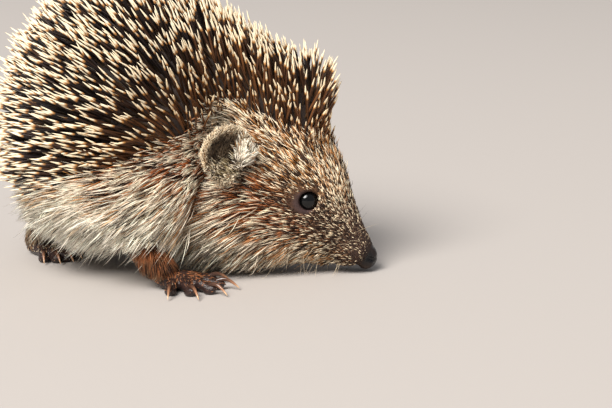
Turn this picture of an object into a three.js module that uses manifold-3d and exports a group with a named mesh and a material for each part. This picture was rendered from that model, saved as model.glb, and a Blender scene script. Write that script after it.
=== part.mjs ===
// A young European hedgehog (Erinaceus europaeus), life size, standing hunched with its
// nose at the floor. Millimetres, +Z up. The solids reach out to the tips of the spines and
// fur. Left (+Y) and right (-Y) are the animal's own.
//
// Every piece is set out on a straight body that lies along +X. The body is then turned to
// its left between the rump and the ears, and the whole animal is laid along X again.

import * as THREE from 'three';
import { LoftGeometry } from 'three/addons/geometries/LoftGeometry.js';
import { mergeVertices } from 'three/addons/utils/BufferGeometryUtils.js';
import Module from 'manifold-3d';

const wasm = await Module();
wasm.setup();

// ---------------------------------------------------------------- driving dimensions

const gap = 0.3; // left between neighbouring pieces

// The turn of the body: straight behind bendStart, turned by bendAngle from bendEnd on.
const bendStart = - 20;
const bendEnd = 24;
const bendAngle = THREE.MathUtils.degToRad( 42 );

// The spiny mantle. Behind its widest station and ahead of its last one it closes round.
const rumpTip = - 58;
const rumpRoundness = 2.05; // 2 is an ellipse, more is blunter
const crownTip = 69.3;
const crownRoundness = { half: 2, height: 3.4 };
const mantleStations = [
	{ x: - 6, top: 109.5, half: 44, belt: 47, bottom: 9.5 },
	{ x: 6, top: 106.5, half: 41.5, belt: 50, bottom: 8.5 },
	{ x: 16, top: 102, half: 35, belt: 59, bottom: 13 },
	{ x: 24, top: 98, half: 29.5, belt: 70, bottom: 44 },
	{ x: 31, top: 93.5, half: 27, belt: 72, bottom: 52 },
	{ x: 43, top: 86.5, half: 24, belt: 69, bottom: 50 },
	{ x: 56, top: 80.5, half: 18.5, belt: 65, bottom: 48 },
];
const mantleRings = 25;
const mantleSides = 30;

// The furred head: a cone on an axis that points down and forward to the muzzle. Stations
// are counted back from the muzzle's end; up, down and half are measured off the axis.
const headPitch = THREE.MathUtils.degToRad( 38 );
const muzzleEnd = { x: 81.8, z: 4.2 };
const headStations = [
	{ t: 1, up: 4.2, down: 4.2, half: 3.4 },
	{ t: 5, up: 6.4, down: 6.4, half: 5.6 },
	{ t: 11, up: 9.4, down: 9.6, half: 7.8 },
	{ t: 20, up: 15.4, down: 16.2, half: 11.4 },
	{ t: 31, up: 23.2, down: 24.4, half: 16.2 },
	{ t: 40, up: 27.5, down: 30.5, half: 19.4 },
	{ t: 50, up: 30, down: 36, half: 21.4 },
	{ t: 62, up: 30, down: 40, half: 22.6 },
	{ t: 76, up: 26, down: 38, half: 22.6 },
];
const headRings = 14;
const headSides = 24;

// Where the body is parted.
const neckStart = 6;
const headStart = 20;

// Nose pad, eyes and ears, in the straight body's coordinates.
const nose = { x: 80.4, z: 5.3, long: 4.3, wide: 3.9, high: 4.6 };
const eye = { x: 58, y: 11.6, z: 29.6, radius: 4.2, socketRadius: 4.9, socketOut: 5.4 };
const ear = { x: 29, y: 26, z: 49.2, wide: 17, tall: 18.4, thick: 1.3, dish: 3.2, face: 58, tilt: 10 };

// The tail, under the rump.
const tail = { root: new THREE.Vector3( - 45, 0, 24 ), tip: new THREE.Vector3( - 55, 0, 14 ), radius: 2.6 };

// Legs and paws. Each paw has its own frame: x forward, y outward, z up, the palm's middle
// on the floor. Toes run from the inner to the outer one, and are turned outward by angle.
const frontPaw = {
	x: 17, y: 24, yaw: - 3,
	palmLong: 13, palmWide: 11.5, palmHigh: 6.4, toeRadius: 1.9, clawLong: 8.2, wristX: - 6.6,
	toes: [
		{ x: 2.4, y: - 2.8, angle: - 22, long: 6.6 },
		{ x: 3.4, y: - 0.3, angle: 6, long: 8.6 },
		{ x: 2.8, y: 2.2, angle: 33, long: 8.2 },
		{ x: - 0.4, y: 3, angle: 62, long: 7.4 },
		{ x: - 4, y: 2.6, angle: 90, long: 6.4 },
	],
	legTop: 25, legRadius: 7.4, wristRadius: 5, legLean: - 21,
};
const hindPaw = {
	x: - 46, y: 9.5, yaw: 6,
	palmLong: 17, palmWide: 11, palmHigh: 6, toeRadius: 1.9, clawLong: 5.6, wristX: - 4,
	toes: [
		{ x: 4.6, y: - 4, angle: - 24, long: 5.2 },
		{ x: 5.2, y: - 2.1, angle: - 11, long: 8 },
		{ x: 5.4, y: 0, angle: 2, long: 9 },
		{ x: 5.2, y: 2.1, angle: 15, long: 8.2 },
		{ x: 4.2, y: 4, angle: 32, long: 6 },
	],
	legTop: 27, legRadius: 8.2, wristRadius: 5.2, legLean: 10,
};

// ---------------------------------------------------------------- curves

// A smooth value between stations, for each of their named sizes.
function between( stations, key, at ) {

	let i = 0;
	while ( i < stations.length - 2 && at > stations[ i + 1 ][ key ] ) i ++;
	const a = stations[ i ];
	const b = stations[ i + 1 ];
	const before = stations[ Math.max( i - 1, 0 ) ];
	const after = stations[ Math.min( i + 2, stations.length - 1 ) ];
	const span = b[ key ] - a[ key ];
	const s = THREE.MathUtils.clamp( ( at - a[ key ] ) / span, 0, 1 );
	const result = {};
	for ( const name of Object.keys( a ) ) {

		const slopeA = ( b[ name ] - before[ name ] ) / ( b[ key ] - before[ key ] );
		const slopeB = ( after[ name ] - a[ name ] ) / ( after[ key ] - a[ key ] );
		const rise = a[ name ] * ( 2 * s ** 3 - 3 * s ** 2 + 1 ) + b[ name ] * ( 3 * s ** 2 - 2 * s ** 3 );
		const lean = slopeA * ( s ** 3 - 2 * s ** 2 + s ) + slopeB * ( s ** 3 - s ** 2 );
		result[ name ] = rise + lean * span;

	}

	return result;

}

// The body's middle line in plan, and its heading there.
function axisAt( x ) {

	const radius = ( bendEnd - bendStart ) / bendAngle;
	const turned = THREE.MathUtils.clamp( ( x - bendStart ) / ( bendEnd - bendStart ), 0, 1 );
	const heading = turned * bendAngle;
	const past = Math.max( x - bendEnd, 0 );
	const before = Math.min( x, bendStart );
	return {
		x: before + radius * Math.sin( heading ) + past * Math.cos( heading ),
		y: radius * ( 1 - Math.cos( heading ) ) + past * Math.sin( heading ),
		heading,
	};

}

// Moves a geometry from the straight body to the turned one.
function bend( geometry ) {

	const position = geometry.attributes.position;
	for ( let i = 0; i < position.count; i ++ ) {

		const axis = axisAt( position.getX( i ) );
		const y = position.getY( i );
		position.setX( i, axis.x - y * Math.sin( axis.heading ) );
		position.setY( i, axis.y + y * Math.cos( axis.heading ) );

	}

	return geometry;

}

// The frame of a rigid piece that sits at a point of the straight body.
function bodyFrame( x, y, z ) {

	const axis = axisAt( x );
	const place = new THREE.Matrix4().makeRotationZ( axis.heading );
	place.setPosition( axis.x - y * Math.sin( axis.heading ), axis.y + y * Math.cos( axis.heading ), z );
	return place;

}

// ---------------------------------------------------------------- solids

// A geometry as a solid that can be joined and cut, with shared corners merged.
function toSolid( geometry ) {

	const bare = new THREE.BufferGeometry();
	bare.setAttribute( 'position', geometry.attributes.position );
	bare.setIndex( geometry.index );
	const merged = mergeVertices( bare, 1e-3 );
	const corners = merged.index.array;
	const kept = [];
	for ( let i = 0; i < corners.length; i += 3 ) {

		const [ a, b, c ] = corners.slice( i, i + 3 );
		if ( a !== b && b !== c && c !== a ) kept.push( a, b, c );

	}

	return new wasm.Manifold( new wasm.Mesh( {
		numProp: 3,
		vertProperties: new Float32Array( merged.attributes.position.array ),
		triVerts: new Uint32Array( kept ),
	} ) );

}

// The largest body of a solid, without the slivers that a cut can leave.
function mainBody( solid ) {

	return solid.decompose().reduce( ( a, b ) => ( b.volume() > a.volume() ? b : a ) );

}

function toGeometry( solid ) {

	const mesh = solid.getMesh();
	const geometry = new THREE.BufferGeometry();
	geometry.setAttribute( 'position', new THREE.BufferAttribute( mesh.vertProperties, 3 ) );
	geometry.setIndex( new THREE.BufferAttribute( mesh.triVerts, 1 ) );
	geometry.computeVertexNormals();
	return geometry;

}

// A closed loft through rings of points.
function loft( rings ) {

	return new LoftGeometry( rings, { capStart: true, capEnd: true } );

}

// A ring round a centre, in the plane of two directions. Each half has its own height and
// power: 2 is an ellipse, more is squarer.
function ring( centre, side, up, half, upper, lower, sides, power = 2, lowerPower = power ) {

	const points = [];
	for ( let i = 0; i < sides; i ++ ) {

		const angle = ( i / sides ) * 2 * Math.PI;
		const c = Math.cos( angle );
		const s = Math.sin( angle );
		const exponent = 2 / ( s > 0 ? power : lowerPower );
		const across = half * Math.sign( c ) * Math.abs( c ) ** exponent;
		const along = ( s > 0 ? upper : lower ) * Math.sign( s ) * Math.abs( s ) ** exponent;
		points.push( centre.clone().addScaledVector( side, across ).addScaledVector( up, along ) );

	}

	return points;

}

const forward = new THREE.Vector3( 1, 0, 0 );
const left = new THREE.Vector3( 0, 1, 0 );
const up = new THREE.Vector3( 0, 0, 1 );

// How far a round end has closed: 1 up to its start at share 0, nearly shut at share 1.
function closingAt( share, roundness ) {

	return Math.max( 1 - Math.max( share, 0 ) ** roundness, 0.004 ) ** ( 1 / roundness );

}

// The mantle: back, flanks and belly out to the tips of the spines and the hanging fur.
function mantleGeometry( grow ) {

	const widest = mantleStations[ 0 ].x;
	const brow = mantleStations[ mantleStations.length - 1 ].x;
	const rings = [];
	for ( let i = 0; i <= mantleRings; i ++ ) {

		const share = i / mantleRings;
		const x = THREE.MathUtils.lerp( rumpTip, crownTip, ( 1 - Math.cos( share * Math.PI ) ) / 2 );
		const station = between( mantleStations, 'x', THREE.MathUtils.clamp( x, widest, brow ) );
		const back = ( widest - x ) / ( widest - rumpTip );
		const ahead = ( x - brow ) / ( crownTip - brow );
		const rump = closingAt( back, rumpRoundness );
		const crownHalf = closingAt( ahead, crownRoundness.half );
		const crownHeight = closingAt( ahead, crownRoundness.height );
		const place = x + grow * ( 2 * share - 1 );
		rings.push( ring(
			new THREE.Vector3( place, 0, station.belt ), left, up,
			station.half * rump * crownHalf + grow,
			( station.top - station.belt ) * rump * crownHeight + grow,
			( station.belt - station.bottom ) * rump * crownHeight + grow,
			mantleSides, 2.1, 2.7,
		) );

	}

	return bend( loft( rings ) );

}

// The head with its fur, as far back as the nape and throat inside the mantle.
function headGeometry( grow ) {

	const backward = new THREE.Vector3( - Math.cos( headPitch ), 0, Math.sin( headPitch ) );
	const brow = new THREE.Vector3( Math.sin( headPitch ), 0, Math.cos( headPitch ) );
	const start = headStations[ 0 ].t;
	const end = headStations[ headStations.length - 1 ].t;
	const rings = [];
	for ( let i = headRings; i >= 0; i -- ) {

		const share = i / headRings;
		const t = THREE.MathUtils.lerp( start, end, share ** 1.3 );
		const station = between( headStations, 't', t );
		const centre = new THREE.Vector3( muzzleEnd.x, 0, muzzleEnd.z );
		centre.addScaledVector( backward, t + grow * ( 2 * share - 1 ) );
		rings.push( ring(
			centre, left, brow,
			station.half + grow, station.up + grow, station.down + grow, headSides, 2.1,
		) );

	}

	return bend( loft( rings ) );

}

function ellipsoid( long, wide, high, grow = 0, sides = 12 ) {

	const geometry = new THREE.SphereGeometry( 1, sides, Math.round( sides * 0.6 ) );
	geometry.scale( long + grow, wide + grow, high + grow );
	return geometry;

}

// A dished ear. Its frame: x the way it faces, z up, its middle at the origin.
function earGeometry( grow ) {

	const profile = [];
	const steps = 4;
	for ( let i = 0; i <= 2 * steps + 1; i ++ ) {

		const front = i <= steps;
		const share = ( front ? i : 2 * steps + 1 - i ) / steps;
		const depth = - ear.dish * ( 1 - share ** 2 ) + ( front ? 1 : - 1 ) * ( ear.thick / 2 + grow );
		const radius = share === 0 ? 0 : share * ear.tall / 2 + grow;
		profile.push( new THREE.Vector2( radius, - depth ) );

	}

	const geometry = new THREE.LatheGeometry( profile, 18 );
	geometry.rotateZ( Math.PI / 2 );
	return geometry.scale( 1, ear.wide / ear.tall, 1 );

}

function earFrame( side ) {

	const turn = new THREE.Matrix4().makeRotationZ( THREE.MathUtils.degToRad( side * ear.face ) );
	const tilt = new THREE.Matrix4().makeRotationY( THREE.MathUtils.degToRad( ear.tilt ) );
	return bodyFrame( ear.x, side * ear.y, ear.z ).multiply( turn ).multiply( tilt );

}

// A round limb that tapers between two points. Its ends are blunt.
function limbGeometry( from, to, radiusFrom, radiusTo, grow, sides = 12, steps = 4 ) {

	const axis = to.clone().sub( from ).normalize();
	const side = new THREE.Vector3().crossVectors( axis, Math.abs( axis.z ) > 0.8 ? forward : up ).normalize();
	const lift = new THREE.Vector3().crossVectors( side, axis );
	const rings = [];
	for ( let i = 0; i <= steps; i ++ ) {

		const s = i / steps;
		const end = Math.sqrt( Math.max( 1 - ( 2 * s - 1 ) ** 8, 0.03 ) );
		const radius = THREE.MathUtils.lerp( radiusFrom, radiusTo, s ) * end + grow;
		const centre = from.clone().lerp( to, s ).addScaledVector( axis, grow * ( 2 * s - 1 ) );
		rings.push( ring( centre, side, lift, radius, radius, radius, sides ).reverse() );

	}

	return loft( rings );

}

// ---------------------------------------------------------------- paws

// The direction and the two ends of a toe in its paw's frame. side is 1 for a left paw.
function toeLine( paw, i, side ) {

	const toe = paw.toes[ i ];
	const turn = THREE.MathUtils.degToRad( toe.angle );
	const way = new THREE.Vector3( Math.cos( turn ), side * Math.sin( turn ), 0 );
	const root = new THREE.Vector3( toe.x, side * toe.y, paw.toeRadius + 0.9 );
	const tip = root.clone().addScaledVector( way, toe.long );
	tip.z = paw.toeRadius - 0.12;
	return { way, root, tip };

}

// A paw: a palm and its toes in one piece.
function pawSolid( paw, side, grow ) {

	const palm = ellipsoid( paw.palmLong / 2, paw.palmWide / 2, paw.palmHigh / 2, grow, 10 );
	palm.translate( 0, 0, paw.palmHigh / 2 - 0.35 );
	let solid = toSolid( palm );
	for ( let i = 0; i < paw.toes.length; i ++ ) {

		const { root, tip } = toeLine( paw, i, side );
		const toe = limbGeometry( root, tip, paw.toeRadius * 1.1, paw.toeRadius, grow, 6, 3 );
		solid = solid.add( toSolid( toe ) );

	}

	return solid;

}

// A claw: it rises off the toe's end and curves down to just over the floor.
function clawGeometry( paw, i, side ) {

	const { way, tip } = toeLine( paw, i, side );
	const across = new THREE.Vector3( - way.y, way.x, 0 );
	const rings = [];
	const steps = 3;
	const base = tip.clone().addScaledVector( way, - 1.6 );
	base.z = paw.toeRadius + 0.5;
	const drop = base.z - 0.85;
	for ( let k = 0; k <= steps; k ++ ) {

		const s = k / steps;
		const centre = base.clone().addScaledVector( way, paw.clawLong * s );
		centre.z += 1.1 * Math.sin( s * Math.PI ) - drop * s ** 2;
		const radius = THREE.MathUtils.lerp( 1.05, 0.34, s ** 1.2 );
		const slope = Math.atan2( 1.1 * Math.PI * Math.cos( s * Math.PI ) - 2 * drop * s, paw.clawLong );
		const lift = up.clone().multiplyScalar( Math.cos( slope ) ).addScaledVector( way, - Math.sin( slope ) );
		rings.push( ring( centre, across, lift, radius * 0.8, radius, radius, 5 ) );

	}

	return loft( rings );

}

// ---------------------------------------------------------------- the pieces

const paint = {
	spines: { color: 0x4a3a2c, roughness: 0.6 },
	fur: { color: 0x8a6a4a, roughness: 0.9 },
	skin: { color: 0x5c4334, roughness: 0.8 },
	nose: { color: 0x14100f, roughness: 0.35 },
	eye: { color: 0x080605, roughness: 0.08 },
	claw: { color: 0x9c7a58, roughness: 0.4 },
};

const hedgehog = new THREE.Group();

function addPiece( name, solid, look ) {

	const material = new THREE.MeshStandardMaterial( { ...paint[ look ], metalness: 0 } );
	const mesh = new THREE.Mesh( toGeometry( mainBody( solid ) ), material );
	mesh.name = name;
	hedgehog.add( mesh );

}

// A block that takes away everything behind (-1) or in front (+1) of a station.
function cutter( x, way ) {

	const block = new THREE.BoxGeometry( 400, 400, 400 ).translate( way * 200, 0, 0 );
	return toSolid( block.applyMatrix4( bodyFrame( x, 0, 0 ) ) );

}

const sides = [ { name: 'left', sign: 1 }, { name: 'right', sign: - 1 } ];
const ends = [ { name: 'front', paw: frontPaw }, { name: 'hind', paw: hindPaw } ];

const mantle = toSolid( mantleGeometry( 0 ) );
const headCone = toSolid( headGeometry( 0 ) );
const headConeGrown = toSolid( headGeometry( gap ) );

let trunkSolid = mantle.subtract( cutter( neckStart - gap / 2, 1 ) );
let neckSolid = mantle.add( headCone ).subtract( cutter( neckStart + gap / 2, - 1 ) );
neckSolid = neckSolid.subtract( cutter( headStart - gap / 2, 1 ) );
let crownSolid = mantle.subtract( cutter( headStart + gap / 2, - 1 ) ).subtract( headConeGrown );
let headSolid = headCone.subtract( cutter( headStart + gap / 2, - 1 ) );

// Nose pad
function noseSolid( grow ) {

	const geometry = ellipsoid( nose.long, nose.wide, nose.high, grow );
	return toSolid( geometry.applyMatrix4( bodyFrame( nose.x, 0, nose.z ) ) );

}

addPiece( 'nose', noseSolid( 0 ), 'nose' );
headSolid = headSolid.subtract( noseSolid( gap ) );

// Eyes and ears
for ( const { name, sign } of sides ) {

	const eyeFrame = bodyFrame( eye.x, sign * eye.y, eye.z );
	const eyeball = ( grow ) => toSolid(
		ellipsoid( eye.radius, eye.radius, eye.radius, grow ).applyMatrix4( eyeFrame ) );
	const socket = ellipsoid( eye.socketRadius, eye.socketRadius, eye.socketRadius );
	socket.applyMatrix4( bodyFrame( eye.x, sign * ( eye.y + eye.socketOut ), eye.z ) );
	headSolid = headSolid.subtract( eyeball( gap ) ).subtract( toSolid( socket ) );
	addPiece( `eye_${ name }`, eyeball( 0 ), 'eye' );

	const flap = ( grow ) => toSolid( earGeometry( grow ).applyMatrix4( earFrame( sign ) ) );
	crownSolid = crownSolid.subtract( flap( gap ) );
	neckSolid = neckSolid.subtract( flap( gap ) );
	addPiece( `ear_${ name }`, flap( 0 ).subtract( headConeGrown ), 'skin' );

}

// Tail
const tailSolid = ( grow ) => toSolid(
	bend( limbGeometry( tail.root, tail.tip, tail.radius, tail.radius * 0.5, grow, 12 ) ) );
trunkSolid = trunkSolid.subtract( tailSolid( gap ) );
addPiece( 'tail', tailSolid( 0 ), 'skin' );

// Legs, paws and claws
const floor = toSolid( new THREE.BoxGeometry( 400, 400, 40 ).translate( 0, 0, - 20 ) );
for ( const { name: end, paw } of ends ) {

	for ( const { name, sign } of sides ) {

		const frame = bodyFrame( paw.x, sign * paw.y, 0 );
		frame.multiply( new THREE.Matrix4().makeRotationZ( THREE.MathUtils.degToRad( sign * paw.yaw ) ) );
		const leg = ( grow ) => {

			const top = new THREE.Vector3( paw.legLean, 0, paw.legTop );
			const wrist = new THREE.Vector3( paw.wristX, 0, 3.4 );
			return toSolid( limbGeometry( top, wrist, paw.legRadius, paw.wristRadius, grow ).applyMatrix4( frame ) );

		};

		const foot = ( grow ) => pawSolid( paw, sign, grow ).transform( frame.elements );
		addPiece( `leg_${ end }_${ name }`, leg( 0 ).subtract( foot( gap ) ), 'fur' );
		addPiece( `paw_${ end }_${ name }`, foot( 0 ).subtract( floor ), 'skin' );
		trunkSolid = trunkSolid.subtract( leg( gap ) ).subtract( foot( gap ) );
		neckSolid = neckSolid.subtract( leg( gap ) ).subtract( foot( gap ) );
		headSolid = headSolid.subtract( leg( gap ) ).subtract( foot( gap ) );
		for ( let i = 0; i < paw.toes.length; i ++ ) {

			const claw = toSolid( clawGeometry( paw, i, sign ).applyMatrix4( frame ) ).subtract( foot( gap ) );
			addPiece( `claw_${ end }_${ name }_${ i + 1 }`, claw, 'claw' );

		}

	}

}

addPiece( 'trunk', trunkSolid, 'spines' );
addPiece( 'neck', neckSolid, 'spines' );
addPiece( 'crown', crownSolid, 'spines' );
addPiece( 'head', headSolid, 'fur' );

// The origin is on the floor under the middle of the whole animal, whose line is along X.
hedgehog.rotation.z = - bendAngle / 2;
const extent = new THREE.Box3().setFromObject( hedgehog, true );
const middle = extent.getCenter( new THREE.Vector3() );
hedgehog.position.set( - middle.x, - middle.y, - extent.min.z );

export default hedgehog;
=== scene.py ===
"""A young hedgehog, life size, standing hunched with its nose low: skin, spines and fur.

Sizes are in millimetres until a mesh is made. Places are given on a straight body: x along
the body to the nose, y to the animal's left, z up. The body is then turned to its left
between BEND_START and BEND_END and laid along the model's X.
"""

import math

import bpy
import numpy as np
import openvdb
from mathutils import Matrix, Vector
from mathutils.kdtree import KDTree


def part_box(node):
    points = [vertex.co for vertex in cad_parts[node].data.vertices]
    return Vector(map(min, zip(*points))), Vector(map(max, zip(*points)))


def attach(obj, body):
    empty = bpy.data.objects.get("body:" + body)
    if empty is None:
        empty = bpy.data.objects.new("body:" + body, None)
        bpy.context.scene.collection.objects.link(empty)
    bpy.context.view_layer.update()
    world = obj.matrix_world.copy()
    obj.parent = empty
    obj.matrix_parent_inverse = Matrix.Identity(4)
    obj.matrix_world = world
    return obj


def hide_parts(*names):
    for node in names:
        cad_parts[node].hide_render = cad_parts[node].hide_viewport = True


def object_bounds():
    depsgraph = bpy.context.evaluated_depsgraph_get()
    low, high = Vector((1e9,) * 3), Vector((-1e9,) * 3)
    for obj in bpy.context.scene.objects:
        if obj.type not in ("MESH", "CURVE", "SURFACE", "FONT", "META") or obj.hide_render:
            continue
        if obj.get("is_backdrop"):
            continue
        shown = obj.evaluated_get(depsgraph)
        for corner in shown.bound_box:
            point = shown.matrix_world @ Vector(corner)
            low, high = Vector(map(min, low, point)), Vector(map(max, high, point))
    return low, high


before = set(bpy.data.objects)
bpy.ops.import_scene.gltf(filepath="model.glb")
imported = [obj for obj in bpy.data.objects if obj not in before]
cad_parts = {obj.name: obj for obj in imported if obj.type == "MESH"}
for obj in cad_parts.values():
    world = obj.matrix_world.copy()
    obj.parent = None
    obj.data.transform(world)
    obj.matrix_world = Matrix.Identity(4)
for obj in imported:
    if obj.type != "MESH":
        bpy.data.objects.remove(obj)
cad_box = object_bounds()
rng = np.random.default_rng(20)

MM = 0.001
BEND_START = -20.0
BEND_END = 24.0
BEND = math.radians(42)
BEND_RADIUS = (BEND_END - BEND_START) / BEND

EYE = (58.0, 11.6, 29.6)
EYE_RADIUS = 4.2
EYE_LOOK = (0.24, 1.0, 0.10)


# ---- the body's own frame


def columns(points):
    """x, y and z of points."""
    return points[..., 0], points[..., 1], points[..., 2]


def unit(vectors):
    return vectors / np.maximum(np.linalg.norm(vectors, axis=-1, keepdims=True), 1e-9)


def ramp(value, start, end):
    """A share that goes from 0 at start to 1 at end."""
    return np.clip((value - start) / (end - start), 0, 1)


def turned(points, angle):
    """Points or directions turned about the vertical."""
    c, s = np.cos(angle), np.sin(angle)
    x, y, z = columns(points)
    return np.stack([x * c - y * s, x * s + y * c, z], axis=-1)


def bent(points):
    """Straight-body points on the turned body, before it is laid along X."""
    x, y, z = columns(points)
    heading = ramp(x, BEND_START, BEND_END) * BEND
    past = np.maximum(x - BEND_END, 0)
    axis_x = np.minimum(x, BEND_START) + BEND_RADIUS * np.sin(heading) + past * np.cos(heading)
    axis_y = BEND_RADIUS * (1 - np.cos(heading)) + past * np.sin(heading)
    return np.stack([axis_x - y * np.sin(heading), axis_y + y * np.cos(heading), z], axis=-1)


def box_middle(node):
    low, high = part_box(node)
    return np.array((low + high) / 2) / MM


right_eye = np.array([EYE[0], -EYE[1], EYE[2]])
SHIFT = box_middle("eye_right") - turned(bent(right_eye), -BEND / 2)


def to_model(points):
    """Straight-body points in the model's frame."""
    return turned(bent(np.asarray(points, float)), -BEND / 2) + SHIFT


def to_body(points):
    """Model-frame points on the straight body, and the body's heading there."""
    x, y, z = columns(turned(points - SHIFT, BEND / 2))
    angle = np.arctan2(x - BEND_START, BEND_RADIUS - y)
    reach = np.hypot(x - BEND_START, BEND_RADIUS - y)
    end_x = x - BEND_START - BEND_RADIUS * math.sin(BEND)
    end_y = y - BEND_RADIUS * (1 - math.cos(BEND))
    before, after = angle < 0, angle > BEND
    along = BEND_START + angle * BEND_RADIUS
    across = BEND_RADIUS - reach
    along = np.where(after, BEND_END + end_x * math.cos(BEND) + end_y * math.sin(BEND), along)
    across = np.where(after, end_y * math.cos(BEND) - end_x * math.sin(BEND), across)
    along = np.where(before, x, along)
    across = np.where(before, y, across)
    heading = np.clip(angle, 0, BEND) - BEND / 2
    return np.stack([along, across, z], axis=-1), heading


def folded(points):
    """Straight-body coordinates of model-frame points, with both sides folded to the left."""
    x, y, z = columns(to_body(points)[0])
    return x, np.abs(y), z


def rigid(x, y, z, turn, side):
    """To and from the frame of a rigid piece, in which outward is +y on both sides."""
    origin = to_model([x, side * y, z])
    _, heading = to_body(origin)
    angle = heading + math.radians(side * turn)

    def to_local(points):
        x, y, z = columns(turned(points - origin, -angle))
        return x, y * side, z

    def to_frame(local):
        return turned(np.multiply(local, (1.0, side, 1.0)), angle) + origin

    return to_local, to_frame


def around(points, margin):
    """The box round points, with a margin."""
    points = np.atleast_2d(points)
    return points.min(0) - margin, points.max(0) + margin


def between(stations, at):
    """The sizes at a place, smoothly between stations. The first column is the place."""
    table = np.asarray(stations, float)
    at = np.asarray(at, float)
    i = np.clip(np.searchsorted(table[:, 0], at) - 1, 0, len(table) - 2)
    a, b = table[i], table[i + 1]
    before, after = table[np.maximum(i - 1, 0)], table[np.minimum(i + 2, len(table) - 1)]
    span = (b - a)[..., :1]
    s = np.clip((at[..., None] - a[..., :1]) / span, 0, 1)
    slope_a = (b - before) / (b - before)[..., :1]
    slope_b = (after - a) / (after - a)[..., :1]
    level = a * (2 * s**3 - 3 * s**2 + 1) + b * (3 * s**2 - 2 * s**3)
    return level + span * (slope_a * (s**3 - 2 * s**2 + s) + slope_b * (s**3 - s**2))


# ---- the skin as a distance field

VOXEL = 0.42
SIMPLIFY = 0.06

# The flesh under the spines: x, top, half width, height of the widest line, bottom.
TRUNK = (
    (-6, 97.5, 34.5, 47, 15.0),
    (6, 95.0, 32.5, 50, 14.0),
    (16, 91.0, 27.0, 59, 19.0),
    (24, 87.5, 21.5, 68, 44.0),
    (31, 83.5, 19.0, 68, 52.0),
    (43, 77.0, 16.5, 64, 50.0),
    (56, 71.0, 12.0, 60, 48.0),
)
WIDEST, BROW = -6.0, 56.0
RUMP_TIP, CROWN_TIP = -46.5, 63.0
ROUND = 2.1
BELLY_ROUND = 2.5

# The head: distance from the muzzle's end, height above and below the axis, half width.
HEAD_PITCH = math.radians(38)
MUZZLE_END = (81.8, 4.2)
HEAD = (
    (1, 3.8, 3.8, 3.0),
    (5, 5.9, 5.9, 5.1),
    (11, 8.7, 8.8, 7.1),
    (20, 14.2, 14.6, 10.3),
    (31, 21.0, 21.6, 14.6),
    (40, 24.2, 26.4, 16.9),
    (50, 25.6, 31.0, 18.0),
    (62, 25.0, 34.5, 18.4),
    (76, 21.0, 32.0, 18.0),
)
HEAD_FRONT, HEAD_FRONT_CAP = 4, 3.4
HEAD_BACK, HEAD_BACK_CAP = 60, 16
HEAD_ZONE = [(x, y, z) for x, wide in ((-2, 30), (86, 26)) for y in (-wide, wide) for z in (0, 84)]

HEAD_BLEND = 12.0
TAIL_ROOT, TAIL_TIP = (-43, 0, 22), (-53, 0, 14)
TAIL_RADII = (2.6, 1.0)

# The paws: place and turn, the sizes of palm, leg and wrist, how far back the leg's top and
# the wrist lie, and how far out the leg's hair reaches. The toes: where the root is on the
# palm, the angle outward and the length.
FRONT_PAW = dict(
    x=17, y=24, yaw=-3, palm=(13, 10.8, 6.6), toe_radius=1.9, claw=8.2, leg_top=26, leg_lean=-21,
    leg_radius=6.0, wrist_radius=4.3, wrist=-6.6, reach=9.5,
    toes=((2.4, -2.8, -22, 6.6), (3.4, -0.3, 6, 8.6), (2.8, 2.2, 33, 8.2), (-0.4, 3, 62, 7.4),
          (-4, 2.6, 90, 6.4)),
)
HIND_PAW = dict(
    x=-46, y=9.5, yaw=6, palm=(17, 10.4, 6.0), toe_radius=1.9, claw=5.6, leg_top=28, leg_lean=10,
    leg_radius=6.8, wrist_radius=4.6, wrist=-4, reach=10.5,
    toes=((4.6, -4, -24, 5.2), (5.2, -2.1, -11, 8), (5.4, 0, 2, 9), (5.2, 2.1, 15, 8.2),
          (4.2, 4, 32, 6)),
)
PAWS = [(paw, side) for paw in (FRONT_PAW, HIND_PAW) for side in (1, -1)]
WRIST_HEIGHT = 4.2
KNUCKLE_SHARE, KNUCKLE_RISE = 0.55, 0.7
TOE_PAD = (2.2, 1.9, 1.5)
CLAW_BED = (1.3, 1.0, 1.0)
PALM_TOP, LIMB_TOP = 6, 19

# The ear's middle, its flap, how deep the flap is dished, and its turn outward and its tilt.
EAR = dict(x=29, y=26, z=49.2, wide=17.0, tall=18.4, thick=1.2, dish=3.2, face=58, tilt=10)
CANAL = (37.0, 19.5, 37.5)

# Rings round the way the eye looks: radius, height on the eye, thickness.
OUTER_FOLD = (5.5, 1.3, 0.5)
EYELID = (3.8, 2.0, 0.55)
CREASE = (4.65, 2.5, 0.1)
EYE_SURROUND = (5.9, 4.2, 5.3)
LID_GAP, LID_SLOPE = 3.2, 0.6
WHISKER_PAD = (73.5, 4.6, 8.5)
MOUTH_CORNER = 66

# The wet pad and the lumps of its wings: middle, radii, blend.
NOSE = (80.2, 0.0, 5.6)
NOSE_LUMPS = (
    (NOSE, (4.1, 3.3, 4.7), 0.6),
    ((79.9, 2.5, 3.9), (2.9, 1.6, 2.6), 0.5),
    ((81.4, 1.7, 6.6), (2.6, 2.0, 2.8), 0.5),
)
WET_NOSE = (4.6, 4.5, 5.2)


def soft_min(a, b, width):
    """The smaller of two distances, rounded over a width where they meet."""
    h = np.clip(0.5 + 0.5 * (b - a) / width, 0, 1)
    return b * (1 - h) + a * h - width * h * (1 - h)


def ellipsoid(centre, radii):
    def shape(p):
        q = [(p[i] - centre[i]) / radii[i] for i in range(3)]
        level = np.sqrt(q[0] ** 2 + q[1] ** 2 + q[2] ** 2)
        slope = np.sqrt((q[0] / radii[0]) ** 2 + (q[1] / radii[1]) ** 2 + (q[2] / radii[2]) ** 2)
        return level * (level - 1) / np.maximum(slope, 1e-6)
    return shape


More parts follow.
